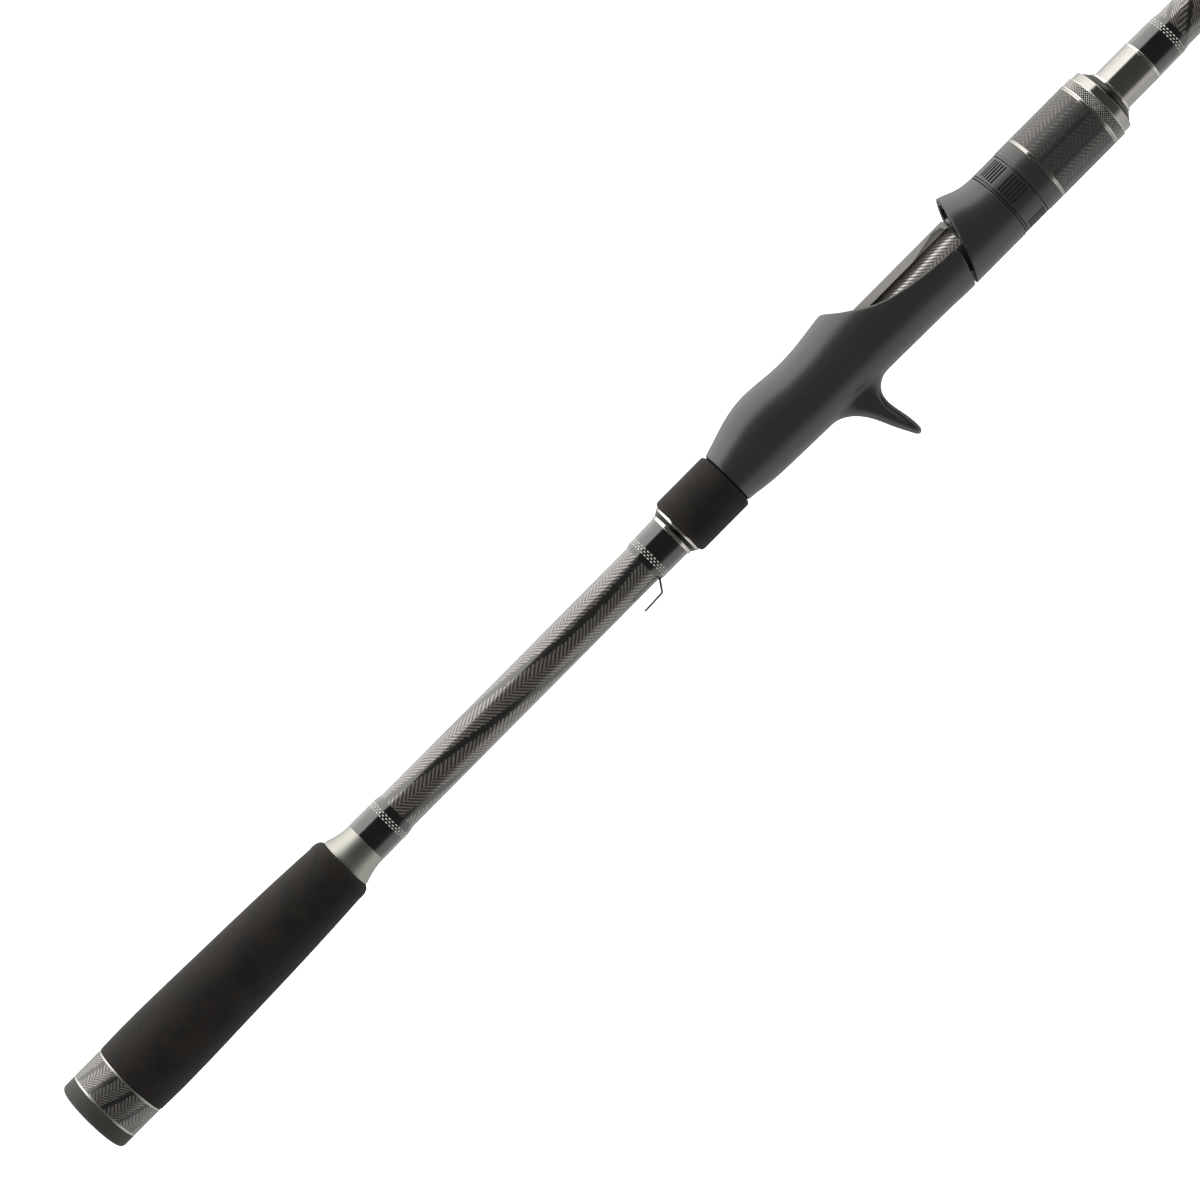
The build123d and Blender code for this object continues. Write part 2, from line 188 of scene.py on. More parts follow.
def softened(node, voxel, passes, crease=None, crease_passes=0):
    """A copy of a moulded CAD node with its edges rounded, as a moulding's are.

    The copy is rebuilt at the voxel's size and each vertex then moves towards its neighbours.
    crease(points) gives each vertex a weight from 0 to 1 for the further passes that blend an
    inside corner.
    """
    source = NODES[node]
    piece = bpy.data.objects.new(f"{node}_moulded", source.data.copy())
    piece.data.transform(source.matrix_world)
    bpy.context.scene.collection.objects.link(piece)
    modifier = piece.modifiers.new("voxels", "REMESH")
    modifier.mode = "VOXEL"
    modifier.voxel_size = voxel * MM
    view = bpy.context.evaluated_depsgraph_get()
    mesh = bpy.data.meshes.new_from_object(piece.evaluated_get(view))
    piece.modifiers.clear()
    piece.data = mesh
    count = len(mesh.vertices)
    points = np.empty(count * 3)
    mesh.vertices.foreach_get("co", points)
    points = points.reshape(-1, 3) / MM
    edges = np.empty(len(mesh.edges) * 2, dtype=np.int64)
    mesh.edges.foreach_get("vertices", edges)
    edges = edges.reshape(-1, 2)
    valence = np.maximum(np.bincount(edges.ravel(), minlength=count), 1)[:, None]
    weights = np.ones((count, 1))
    for step in range(passes + crease_passes):
        if step == passes:
            weights = crease(points)[:, None]
        total = np.zeros_like(points)
        np.add.at(total, edges[:, 0], points[edges[:, 1]])
        np.add.at(total, edges[:, 1], points[edges[:, 0]])
        points += (total / valence - points) * 0.5 * weights
    mesh.vertices.foreach_set("co", (points * MM).ravel())
    mesh.update()
    mesh.shade_smooth()
    mesh.materials.clear()
    return piece


# ------------------------------------------------------------------ material helpers
def srgb(*values):
    """Linear colour from 0 to 255 screen values."""
    linear = []
    for value in values:
        v = value / 255
        linear.append(v / 12.92 if v <= 0.04045 else ((v + 0.055) / 1.055) ** 2.4)
    return (*linear, 1.0)


def tinted(colour, factor):
    """A colour with its brightness multiplied, at most white."""
    return (*(min(1.0, part * factor) for part in colour[:3]), 1.0)


class Shader:
    """One node material with short calls for the nodes that this scene uses."""

    def __init__(self, name):
        self.material = bpy.data.materials.new(name)
        self.material.use_nodes = True
        self.nodes = self.material.node_tree.nodes
        self.links = self.material.node_tree.links
        self.bsdf = self.nodes["Principled BSDF"]
        self.object_coordinates = None

    def link(self, value, socket):
        """Links an output to a socket, or sets the socket to a number or colour."""
        if isinstance(value, bpy.types.NodeSocket):
            self.links.new(value, socket)
        else:
            socket.default_value = value

    def set(self, **values):
        """Principled inputs by name, with _ for a space."""
        for key, value in values.items():
            self.link(value, self.bsdf.inputs[key.replace("_", " ")])

    def coordinates(self):
        """The piece's own coordinates, in millimetres along the frame's axes."""
        if self.object_coordinates is None:
            source = self.nodes.new("ShaderNodeTexCoord")
            scale = self.nodes.new("ShaderNodeVectorMath")
            scale.operation = "SCALE"
            self.links.new(source.outputs["Object"], scale.inputs[0])
            scale.inputs["Scale"].default_value = 1 / MM
            self.object_coordinates = scale.outputs[0]
        return self.object_coordinates

    def axes(self):
        """The three coordinates, apart."""
        split = self.nodes.new("ShaderNodeSeparateXYZ")
        self.links.new(self.coordinates(), split.inputs[0])
        return split.outputs

    def uv(self, name):
        """The two values of a named UV map."""
        source = self.nodes.new("ShaderNodeUVMap")
        source.uv_map = name
        split = self.nodes.new("ShaderNodeSeparateXYZ")
        self.links.new(source.outputs[0], split.inputs[0])
        return split.outputs[0], split.outputs[1]

    def attribute(self, name):
        """A number stored on the mesh."""
        source = self.nodes.new("ShaderNodeAttribute")
        source.attribute_name = name
        return source.outputs["Fac"]

    def math(self, operation, a, b=0.0):
        node = self.nodes.new("ShaderNodeMath")
        node.operation = operation
        for value, socket in zip((a, b), node.inputs):
            self.link(value, socket)
        return node.outputs[0]

    def scaled(self, x, y, z):
        """Object coordinates with each axis scaled."""
        node = self.nodes.new("ShaderNodeVectorMath")
        node.operation = "MULTIPLY"
        self.links.new(self.coordinates(), node.inputs[0])
        node.inputs[1].default_value = (x, y, z)
        return node.outputs[0]

    def noise(self, scale, detail=3.0, roughness=0.5, vector=None):
        node = self.nodes.new("ShaderNodeTexNoise")
        self.links.new(vector if vector is not None else self.coordinates(), node.inputs["Vector"])
        node.inputs["Scale"].default_value = scale
        node.inputs["Detail"].default_value = detail
        node.inputs["Roughness"].default_value = roughness
        return node.outputs[0]

    def cells(self, scale):
        node = self.nodes.new("ShaderNodeTexVoronoi")
        self.links.new(self.coordinates(), node.inputs["Vector"])
        node.inputs["Scale"].default_value = scale
        return node.outputs["Distance"]

    def span(self, value, low, high, to_low=0.0, to_high=1.0, smooth=False):
        node = self.nodes.new("ShaderNodeMapRange")
        node.interpolation_type = "SMOOTHSTEP" if smooth else "LINEAR"
        self.link(value, node.inputs["Value"])
        node.inputs["From Min"].default_value = low
        node.inputs["From Max"].default_value = high
        node.inputs["To Min"].default_value = to_low
        node.inputs["To Max"].default_value = to_high
        return node.outputs[0]

    def mix(self, factor, a, b):
        node = self.nodes.new("ShaderNodeMix")
        node.data_type = "RGBA"
        self.link(factor, node.inputs[0])
        self.link(a, node.inputs[6])
        self.link(b, node.inputs[7])
        return node.outputs[2]

    def bump(self, height, distance, strength):
        """A bump from a height of 0 to 1, with its depth in millimetres."""
        node = self.nodes.new("ShaderNodeBump")
        self.link(height, node.inputs["Height"])
        node.inputs["Distance"].default_value = distance * MM
        node.inputs["Strength"].default_value = strength
        return node.outputs[0]


# ------------------------------------------------------------------ materials
def eva_material():
    """Sanded closed-cell foam: near black, matte, with fine pores and soft mottling."""
    s = Shader("eva_foam")
    pores = s.cells(2.6)
    grain = s.noise(3.5, 5.0, 0.7)
    mottle = s.noise(0.10, 4.0, 0.6)
    fleck = s.span(s.noise(0.8, 2.0), 0.70, 0.76)
    base = s.mix(s.span(mottle, 0.35, 0.65), srgb(34, 32, 30), srgb(46, 42, 39))
    base = s.mix(s.span(grain, 0.3, 0.7, 0.0, 0.35), base, srgb(26, 24, 23))
    base = s.mix(s.math("MULTIPLY", fleck, 0.3), base, srgb(92, 88, 84))
    height = s.math("ADD", s.span(pores, 0.0, 0.35), s.math("MULTIPLY", grain, 0.8))
    s.set(Base_Color=base, Roughness=s.span(grain, 0.3, 0.7, 0.62, 0.8),
          Normal=s.bump(height, 0.04, 0.5), Specular_IOR_Level=0.18)
    return s.material


def rubber_material():
    """Matte moulded rubber of the butt cap."""
    s = Shader("cap_rubber")
    grain = s.noise(4.0, 4.0, 0.6)
    s.set(Base_Color=s.mix(grain, srgb(59, 59, 57), srgb(73, 73, 70)),
          Roughness=s.span(grain, 0.3, 0.7, 0.6, 0.8), Normal=s.bump(grain, 0.03, 0.5),
          Specular_IOR_Level=0.35)
    return s.material


def plastic_material(name, low, high, rough):
    """Soft-touch moulded plastic: satin, with a very fine texture."""
    s = Shader(name)
    fine = s.noise(7.0, 3.0, 0.6)
    broad = s.noise(0.12, 2.0)
    s.set(Base_Color=s.mix(broad, low, high), Roughness=s.span(fine, 0.3, 0.7, rough, rough + 0.1),
          Normal=s.bump(fine, 0.012, 0.5), Specular_IOR_Level=0.5)
    return s.material


def metal_material(name, colour, low_rough, high_rough):
    """Turned and polished metal: fine rings round X and small wear."""
    s = Shader(name)
    lathe_marks = s.noise(1.0, 4.0, 0.7, s.scaled(14.0, 0.2, 0.2))
    wear = s.noise(0.5, 3.0)
    base = s.mix(s.span(wear, 0.3, 0.7, 0.0, 0.25), colour, tinted(colour, 1.25))
    s.set(Base_Color=base, Metallic=1.0,
          Roughness=s.span(lathe_marks, 0.3, 0.7, low_rough, high_rough),
          Normal=s.bump(lathe_marks, 0.002, 0.3))
    return s.material


def knurl_material():
    """Knurled metal, bright on the points, with painted shade in the cuts of the point attribute
    'cut'.
    """
    s = Shader("knurled_metal")
    depth = s.attribute("cut")
    wear = s.noise(0.8, 3.0)
    points = s.mix(s.span(wear, 0.3, 0.7), srgb(168, 167, 163), srgb(190, 189, 184))
    # Painted shade: the base colour darkens towards the bottom of each cut, and the cuts are also
    # rougher.
    s.set(Base_Color=s.mix(s.span(depth, 0.15, 0.75, smooth=True), points, srgb(66, 66, 63)),
          Metallic=1.0, Roughness=s.span(depth, 0.0, 1.0, 0.22, 0.5))
    return s.material


def wrap_material():
    """Black thread under clear epoxy: the thread's coils below, a glass-smooth coat on top."""
    thread_diameter = 0.22
    s = Shader("thread_wrap")
    coils = s.math("SINE", s.math("MULTIPLY", s.axes()[0], TAU / thread_diameter))
    wander = s.noise(0.8, 2.0)
    base = s.mix(s.span(coils, -1.0, 1.0), srgb(5, 5, 5), srgb(16, 15, 15))
    s.set(Base_Color=base, Roughness=s.span(wander, 0.3, 0.7, 0.16, 0.22),
          Normal=s.bump(coils, 0.02, 0.1), Coat_Normal=s.bump(wander, 0.02, 0.1))
    s.set(Coat_Weight=1.0, Coat_Roughness=0.03, Specular_IOR_Level=0.3)
    return s.material


def stitch_material():
    """Silver trim thread, a little uneven in tone."""
    s = Shader("silver_thread")
    twist = s.noise(3.0, 2.0)
    s.set(Base_Color=s.mix(twist, srgb(238, 236, 231), srgb(252, 251, 249)),
          Roughness=s.span(twist, 0.3, 0.7, 0.3, 0.5))
    return s.material


# Painted light: ground and tow colours for the blank's tape under the reel deck, painted paler than
# the rest to stand in for the light that the deck blocks.
PAINTED_LIGHT_GROUND = srgb(100, 97, 94)
PAINTED_LIGHT_TOW = srgb(206, 202, 196)
SEAT_WINDOW = (366, 424)


def carbon_material(name, pitch, period, lean, vertex, colours, coat, coat_roughness, painted_light_span=None):
    """Herringbone tape: UV map 'tape' holds bands across (one per unit) and millimetres along.

    Two rows of slanted tows meet at each band's spine, half a pitch apart, like a plait. pitch is
    from tow to tow and period from band to band, in millimetres, and lean is the tows' slope.
    vertex is 1 where the chevrons point to the butt and -1 where they point to the tip. colours
    are the tows', the ground's and the seam's. The last argument is a length (x from and to, in
    millimetres) where the tape is painted lighter: painted light in place of the light that the
    reel deck above blocks from the blank.
    """
    light, dark, gap = colours
    s = Shader(name)
    bands, along = s.uv("tape")
    wobble = s.math("MULTIPLY", s.math("SUBTRACT", s.noise(0.35, 2.0), 0.5), 0.06)
    across = s.math("SUBTRACT", s.math("FRACT", s.math("ADD", bands, wobble)), 0.5)
    side = s.math("GREATER_THAN", across, 0.0)
    distance = s.math("ABSOLUTE", across)
    offset = s.math("MULTIPLY", distance, period * lean * vertex)
    travel = s.math("DIVIDE", s.math("SUBTRACT", along, offset), pitch)
    travel = s.math("ADD", travel, s.math("MULTIPLY", side, 0.5))
    travel = s.math("ADD", travel, s.math("MULTIPLY", s.noise(0.4, 1.0), 0.22))
    wave = s.math("ABSOLUTE", s.math("SUBTRACT", s.math("FRACT", travel), 0.5))
    tow = s.span(wave, 0.16, 0.30, 1.0, 0.0, smooth=True)
    length = s.span(s.noise(1.1, 1.0, 0.5, s.scaled(1.0, 0.3, 0.3)), 0.3, 0.7, 0.33, 0.41)
    edge = s.span(s.math("SUBTRACT", distance, length), -0.01, 0.03, 1.0, 0.0, smooth=True)
    knot = s.math("MULTIPLY", s.span(distance, 0.02, 0.05, 1.0, 0.0),
                  s.span(wave, 0.25, 0.4, 0.0, 0.8))
    tone = s.noise(0.9, 3.0)
    shade = s.mix(s.span(tone, 0.3, 0.7), light, tinted(light, 0.72))
    weave = s.mix(tow, dark, shade)
    weave = s.mix(knot, weave, gap)
    weave = s.mix(edge, gap, weave)
    # Painted light: inside the given length the weave is painted paler, in place of the light that
    # the deck above blocks.
    if painted_light_span:
        inside = s.math("MULTIPLY", s.math("GREATER_THAN", along, painted_light_span[0]),
                        s.math("LESS_THAN", along, painted_light_span[1]))
        bright = s.mix(s.math("MULTIPLY", tow, 0.8), PAINTED_LIGHT_GROUND, PAINTED_LIGHT_TOW)
        weave = s.mix(inside, weave, bright)
    s.set(Base_Color=weave,
          Roughness=s.span(tow, 0.0, 1.0, 0.45, 0.3),
          Metallic=s.math("MULTIPLY", s.math("MULTIPLY", tow, edge), 0.35),
          Normal=s.bump(s.math("MULTIPLY", tow, edge), 0.05, 0.35),
          Coat_Weight=coat, Coat_Roughness=coat_roughness, Specular_IOR_Level=0.35)
    return s.material


def ceramic_material():
    """Polished dark ceramic of the guide rings."""
    s = Shader("ring_ceramic")
    haze = s.noise(1.5, 3.0)
    s.set(Base_Color=s.mix(haze, srgb(28, 29, 31), srgb(38, 39, 42)),
          Roughness=s.span(haze, 0.3, 0.7, 0.06, 0.14), Coat_Weight=0.5, Coat_Roughness=0.04)
    return s.material


EVA = eva_material()
RUBBER = rubber_material()
SEAT = plastic_material("seat_plastic", srgb(48, 48, 48), srgb(55, 55, 55), 0.30)
DECK = plastic_material("deck_plastic", srgb(190, 188, 183), srgb(201, 199, 194), 0.5)
BRIGHT = metal_material("bright_trim", srgb(168, 167, 163), 0.10, 0.18)
SATIN_TRIM = metal_material("satin_trim", srgb(158, 157, 153), 0.38, 0.46)
GUNMETAL = metal_material("gunmetal", srgb(134, 133, 129), 0.12, 0.18)
SATIN_METAL = metal_material("satin_gunmetal", srgb(140, 140, 134), 0.40, 0.48)
KNURL = knurl_material()
DARK_METAL = metal_material("dark_metal", srgb(34, 33, 31), 0.25, 0.35)
CONE_METAL = metal_material("cone_metal", srgb(48, 47, 45), 0.25, 0.35)
STEEL = metal_material("steel_wire", srgb(215, 214, 210), 0.12, 0.25)
KEEPER = metal_material("keeper_wire", srgb(118, 117, 114), 0.2, 0.3)
GUIDE_METAL = metal_material("guide_metal", srgb(105, 105, 108), 0.15, 0.3)
WRAP = wrap_material()
STITCH = stitch_material()
CERAMIC = ceramic_material()
# SEAT_WINDOW is the length of blank under the reel deck where the tape gets painted light.
BLANK_CARBON = carbon_material("blank_carbon", 1.68, 9.4, 1.05, 1,
                               (srgb(140, 136, 131), srgb(44, 41, 39), srgb(26, 23, 22)),
                               1.0, 0.06, SEAT_WINDOW)
SLEEVE_CARBON = carbon_material("foregrip_carbon", 1.72, 7.0, 0.70, -1,
                                (srgb(92, 90, 88), srgb(58, 55, 55), srgb(50, 47, 47)),
                                0.25, 0.5)
BUTT_CARBON = carbon_material("butt_carbon", 1.28, 7.5, 0.8, 1,
                              (srgb(132, 129, 126), srgb(48, 46, 44), srgb(34, 32, 31)),
                              0.5, 0.22)


# ------------------------------------------------------------------ carbon pieces
def add_tape_map(piece, stations, count, segments, bands, phase):
    """UV map 'tape' on a ring mesh: u counts bands round the piece plus phase(x), v is x in mm."""
    layer = piece.data.uv_layers.new(name="tape")
    vertex_x = [stations[index % count] for index in range(count * segments)]
    for polygon in piece.data.polygons:
        segment_ids = [piece.data.loops[i].vertex_index // count for i in polygon.loop_indices]
        wraps = max(segment_ids) - min(segment_ids) > 1
        for loop, segment in zip(polygon.loop_indices, segment_ids):
            x = vertex_x[piece.data.loops[loop].vertex_index]
            turn = (segment + segments if wraps and segment == 0 else segment) / segments
            layer.data[loop].uv = (turn * bands + phase(x), x)


def carbon_tube(name, stations, outer, inner, segments, bands, phase):
    """A tube with outer(x) and inner(x) radii at the stations, mapped for tape."""
    outline = [(x, outer(x)) for x in stations] + [(x, inner(x)) for x in reversed(stations)]
    piece = lathe(name, outline, segments)
    add_tape_map(piece, [point[0] for point in outline], len(outline), segments, bands, phase)
    return piece


TAPE_DEPTH = 0.6
BLANK_BANDS = 5
BAND_DEGREES = 360 / BLANK_BANDS
SEAM_START = -0.75
SEAM_X = [140, 158.3, 208, 216, 224, 232, 247, 267, 520, 530, ROD_LENGTH]
SEAM_DEGREES = [55.3, 31.0, -35.1, -46.5, -59.0, -66.0, -67.5, -58, -58, 6.5,
                6.5 + 6.45 * (ROD_LENGTH - 530)]


def blank_phase(x):
    """Where the tape's seams lie round the blank: a helix that wanders, as hand-laid tape does."""
    return SEAM_START - float(np.interp(x, SEAM_X, SEAM_DEGREES)) / BAND_DEGREES


def make_blank():
    """The whole blank, with closer stations along the handle, where the seams wander."""
    handle_end, fore_start = 560.0, 566.0
    stations = [*np.linspace(BLANK_START, handle_end, 260),
                *np.linspace(fore_start, ROD_LENGTH, 240)]
    piece = carbon_tube("blank_tape", stations, blank_radius,
                        lambda x: blank_radius(x) - TAPE_DEPTH, 96, BLANK_BANDS, blank_phase)
    finish_piece(piece, BLANK_CARBON, replaces=["blank"])


def make_sleeve(node, body, material, bands, slope, phase):
    """A carbon sleeve of the CAD's size. Its seams turn by slope bands for each millimetre of x."""
    x0, x1 = span(node)
    radius = reach(node)
    edge = 0.15
    stations = [x0, x0 + edge, *np.linspace(x0 + 1, x1 - 1, 24), x1 - edge, x1]

    def outer(x):
        return radius - (edge * 0.6 if x in (x0, x1) else 0.0)

    piece = carbon_tube(f"{node}_tape", stations, outer, lambda x: radius - TAPE_DEPTH, 256, bands,
                        lambda x: phase + slope * (x - x0))
    finish_piece(piece, material, body, [node])


make_blank()
make_sleeve("butt_sleeve", "root", BUTT_CARBON, 12, 0.045, 0.0)
make_sleeve("foregrip_sleeve", "nut", SLEEVE_CARBON, 12, 0.0, -0.08)


# ------------------------------------------------------------------ foam grips
GLUE_RING_DEPTH = 0.10
GLUE_RING_WIDTH = 0.16


def make_grip(node, seams=(), edge=0.0):
    """A foam grip turned to the CAD's profile, with shallow rings where two foam tubes are glued.

    edge is the radius, in millimetres, of the rounded rims at its ends.
    """
    x0, x1 = span(node)
    stations, radii = turned_profile(node)
    bore = bore_of(node)
    xs = np.unique(np.concatenate([[x0, x1], np.arange(x0 + 0.5, x1 - 0.4, 0.5)]
                                  + [np.linspace(seam - 0.5, seam + 0.5, 9) for seam in seams]))
    outline = [(x0, bore)]
    for x in xs:
        radius = float(np.interp(x, stations, radii))
        for seam in seams:
            radius -= GLUE_RING_DEPTH * math.exp(-((x - seam) / GLUE_RING_WIDTH) ** 2)
        if edge:
            inset = max(0.0, edge - min(x - x0, x1 - x))
            radius -= edge - math.sqrt(max(0.0, edge ** 2 - inset ** 2))
        outline.append((float(x), radius))
    outline.append((x1, bore))
    grip = finish_piece(lathe(f"{node}_foam", outline, 128), EVA, "root", [node])


make_grip("rear_grip", seams=[56.0], edge=0.5)
make_grip("seat_rear_grip")


# ------------------------------------------------------------------ moulded reel seat
TRIGGER_DROPS = [15.8, 20.6, 28.4, 33.2]
TRIGGER_FRONT_X = [365.2, 363.9, 365.1, 365.5]
GROOVE_TOP = -15.0
GROOVE_BOTTOM = -33.5
GROOVE_FADE = 3.0
GROOVE_DEPTH = 0.5
GROOVE_WIDTH = 0.42
GROOVE_INSET = 2.0
MIDDLE_HALF = 0.4


def cut_trigger_groove(piece):
    """A shallow groove on each side of the trigger, a little behind its front edge."""
    for vertex in piece.data.vertices:
        x, y, z = vertex.co / MM
        if not GROOVE_BOTTOM < z < GROOVE_TOP or abs(y) < MIDDLE_HALF:
            continue
        front = float(np.interp(-z, TRIGGER_DROPS, TRIGGER_FRONT_X))
        fade = min(1.0, (GROOVE_TOP - z) / GROOVE_FADE, (z - GROOVE_BOTTOM) / GROOVE_FADE)
        inset = (front - x - GROOVE_INSET) / GROOVE_WIDTH
        depth = GROOVE_DEPTH * fade * math.exp(-inset ** 2)
        vertex.co.y -= math.copysign(depth * MM, y)


def trigger_crease(points):
    """Weight round the inside corner between the trigger and the underside of the seat."""
    corner_z, corner_half = -12.6, 4.0
    start, end, fade = 333, 386, 6
    x, z = points[:, 0], points[:, 2]
    height = np.clip(1 - np.abs(z - corner_z) / corner_half, 0, 1)
    length = np.clip((x - start) / fade, 0, 1) * np.clip((end - x) / fade, 0, 1)
    return height * length


seat_body = softened("reel_seat_body", voxel=0.40, passes=3, crease=trigger_crease,
                     crease_passes=40)
cut_trigger_groove(seat_body)
finish_piece(seat_body, SEAT, "root", ["reel_seat_body"])
finish_piece(softened("movable_hood", voxel=0.34, passes=2), SEAT, "hood",
             ["movable_hood"])


def make_barrel():
    """Barrel with its 2 mm thread and the keyway underneath."""
    node = "seat_threaded_barrel"
    x0, x1 = span(node)
    crest, bore = reach(node), bore_of(node)
    depth, lead, flank = 0.55, 2.0, 3.2
    keyway_half, keyway_floor = 1.6, 8.7
    xs = [x0, *np.arange(x0 + 1.0, x1 - 0.9, 0.25), x1]

    def outline_at(angle):
        y, z = math.sin(angle), math.cos(angle)
        outline = []
        for x in xs:
            turn = (x / lead - angle / TAU) % 1.0
            groove = max(0.0, 1 - abs(turn - 0.5) * flank)
            radius = crest if x in (x0, x1) else crest - depth * groove
            if z < 0 and abs(y) * crest < keyway_half:
                radius = min(radius, keyway_floor / -z)
            outline.append((x, radius))
        return outline + [(x1, bore), (x0, bore)]

    vertices, faces = ring_mesh(outline_at, len(xs) + 2, 180)
    barrel = make_object("barrel_thread", vertices, faces)
    finish_piece(barrel, SEAT, "root", [node])


make_barrel()


# ------------------------------------------------------------------ turned metal
def triangle(value):
    """A wave from 0 to 1 and back for each unit of value."""
    return 1 - abs(value % 1.0 - 0.5) * 2


def make_knurled_ring():
    """Ring cut with a diamond knurl between two plain edges."""
    node = "knurled_ring"
    x0, x1 = span(node)
    radius, bore = reach(node), bore_of(node)
    around, pitch, depth = 84, 1.0, 0.32
    plain, chamfer_x, chamfer_r, ramp = 0.40, 0.12, 0.18, 0.05
    xs = np.linspace(x0 + plain + ramp, x1 - plain - ramp, 34)

    def outline_at(angle):
        outline = [(x0, bore), (x0, radius - chamfer_r), (x0 + chamfer_x, radius),
                   (x0 + plain, radius)]
        for x in xs:
            left = triangle(around * angle / TAU + x / pitch)
            right = triangle(around * angle / TAU - x / pitch)
            outline.append((float(x), radius - depth * (1 - min(left, right) ** 0.8)))
        return outline + [(x1 - plain, radius), (x1 - chamfer_x, radius),
                          (x1, radius - chamfer_r), (x1, bore)]

    vertices, faces = ring_mesh(outline_at, len(xs) + 8, around * 8)
    ring = make_object("knurl", vertices, faces, 60.0)
    cut = ring.data.attributes.new("cut", "FLOAT", "POINT")
    for vertex, value in zip(ring.data.vertices, cut.data):
        x, y, z = vertex.co / MM
        inside = x0 + plain + ramp / 2 < x < x1 - plain - ramp / 2
        value.value = (radius - math.hypot(y, z)) / depth if inside else 0.0
    finish_piece(ring, KNURL, "nut", [node])


def make_end_collar():
    """Polished collar, a dark stepped cone and a thin lip."""
    node = "nut_end_collar"
    x0, x1 = span(node)
    bore = bore_of(node)
    cone_x, lip_x = x0 + 3.6, x0 + 6.0
    lip_radius, lip_edge = 8.85, 0.3
    polished = rounded_outline([(x0, bore, 0), (x0, 12.85, 0.2), (x0 + 3.3, 12.75, 0.35),
                                (cone_x, 11.7, 0.1), (cone_x, bore, 0)])
    finish_piece(lathe("end_collar_band", polished), GUNMETAL, "nut", [node])
    cone = rounded_outline([(cone_x, bore, 0), (cone_x, 11.5, 0.1), (x0 + 4.2, 11.3, 0.1),
                            (x0 + 4.9, 10.4, 0.1), (x0 + 5.1, 10.1, 0.05), (x0 + 5.8, 9.4, 0.1),
                            (lip_x, 9.0, 0.05), (lip_x, bore, 0)])
    finish_piece(lathe("end_collar_cone", cone), CONE_METAL, "nut")
    lip = rounded_outline([(lip_x, bore, 0), (lip_x, lip_radius, lip_edge),
                           (x1, lip_radius, lip_edge), (x1, bore, 0)])
    finish_piece(lathe("end_collar_lip", lip), BRIGHT, "nut")


def make_coned_ring(node, edge):
    """A turned CAD ring with a sloping face, its outer corners rounded."""
    stations, radii = turned_profile(node)
    bore = bore_of(node)
    outline = rounded_outline([(stations[0], bore, 0), (stations[0], radii[0], edge),
                               (stations[-1], radii[-1], edge), (stations[-1], bore, 0)])
    return lathe(f"{node}_turned", outline)


def make_winding_check():
    """The flared metal cone in front of the rear grip, with its two rims eased."""
    node = "rear_winding_check"
    stations, radii = turned_profile(node)
    bore = bore_of(node)
    outline = [(stations[0], bore), (stations[0], radii[0] - 0.3),
               (stations[0] + 0.15, radii[0] - 0.08)]
    outline += [(x, float(np.interp(x, stations, radii)))
                for x in np.linspace(stations[0] + 0.4, stations[-1] - 0.2, 40)]
    outline += [(stations[-1], radii[-1] - 0.15), (stations[-1], bore)]
    finish_piece(lathe(f"{node}_turned", outline), SATIN_METAL, "root", [node])


for node in ("butt_trim_ring_rear", "butt_trim_ring_front"):
    collar(node, SATIN_TRIM, "root", 0.25)
for node in ("nut_trim_ring_rear", "nut_trim_ring_front"):
    collar(node, GUNMETAL, "nut", 0.2)
collar("nut_collar", SEAT, "nut", 0.35)
collar("fore_tube", GUNMETAL, "root", 0.1)
collar("seat_check_ring_rear", BRIGHT, "root", 0.2)
finish_piece(make_coned_ring("seat_check_cone", 0.08), DARK_METAL, "root",
             ["seat_check_cone"])
finish_piece(make_coned_ring("seat_check_ring_front", 0.2), BRIGHT, "root",
             ["seat_check_ring_front"])
finish_piece(make_coned_ring("fore_tube_end_ring", 0.3), BRIGHT, "root",
             ["fore_tube_end_ring"])
make_winding_check()
make_knurled_ring()
make_end_collar()


# ------------------------------------------------------------------ trim stitches under the epoxy
STITCH_COLUMNS = 3
STITCHES_AROUND = 32
STITCH_PITCH = 0.88
STITCH_INSET = 0.45
STITCH_HALF_X = 0.22
STITCH_HALF_AROUND = 0.50
STITCH_STRAY = 0.01
STITCH_LEVELS = ((0, 1.0, -0.10), (1, 1.0, 0.0), (2, 0.7, 0.08))


def make_stitches(name, start, radius_at):
    """Columns of short silver dashes laid round a wrap, each column staggered from the last.

    A stitch is three rounded outlines, one over the other: number, share of its size and lift.
    """
    sides = 10
    vertices, faces = [], []
    for column in range(STITCH_COLUMNS):
        for index in range(STITCHES_AROUND):
            x = start + STITCH_INSET + column * STITCH_PITCH
            stray = random.uniform(-STITCH_STRAY, STITCH_STRAY)
            angle = TAU * (index + 0.5 * (column % 2)) / STITCHES_AROUND + stray
            radius = radius_at(x)
            base = len(vertices)
            for level, share, lift in STITCH_LEVELS:
                for side in range(sides):
                    turn = TAU * side / sides
                    blunt = math.copysign(abs(math.cos(turn)) ** 0.7, math.cos(turn))
                    along = STITCH_HALF_X * share * blunt
                    swing = STITCH_HALF_AROUND * share * math.sin(turn) / radius
                    r = radius + lift
                    vertices.append((x + along, r * math.sin(angle + swing),
                                     r * math.cos(angle + swing)))
                if level:
                    low = base + (level - 1) * sides
                    faces += [(low + k, low + (k + 1) % sides, low + sides + (k + 1) % sides,
                               low + sides + k) for k in range(sides)]
            faces.append(tuple(base + k for k in reversed(range(sides))))
            faces.append(tuple(base + 2 * sides + k for k in range(sides)))
    stitches = make_object(name, vertices, faces, 80.0)
    finish_piece(stitches, STITCH, "root")


def sloping(x0, radius, slope):
    """Radius along a wrap that has the given radius at x0."""
    return lambda x: radius + slope * (x - x0)


make_stitches("rear_wrap_stitches", 141.7, sloping(132.6, 8.2, -0.1 / 12.1))
make_stitches("keeper_wrap_stitches", 267.5, sloping(267.4, 8.2, 0.15 / 11.6))
make_stitches("front_wrap_stitches", 517.6, sloping(507.9, 8.05, -0.1 / 11.9))


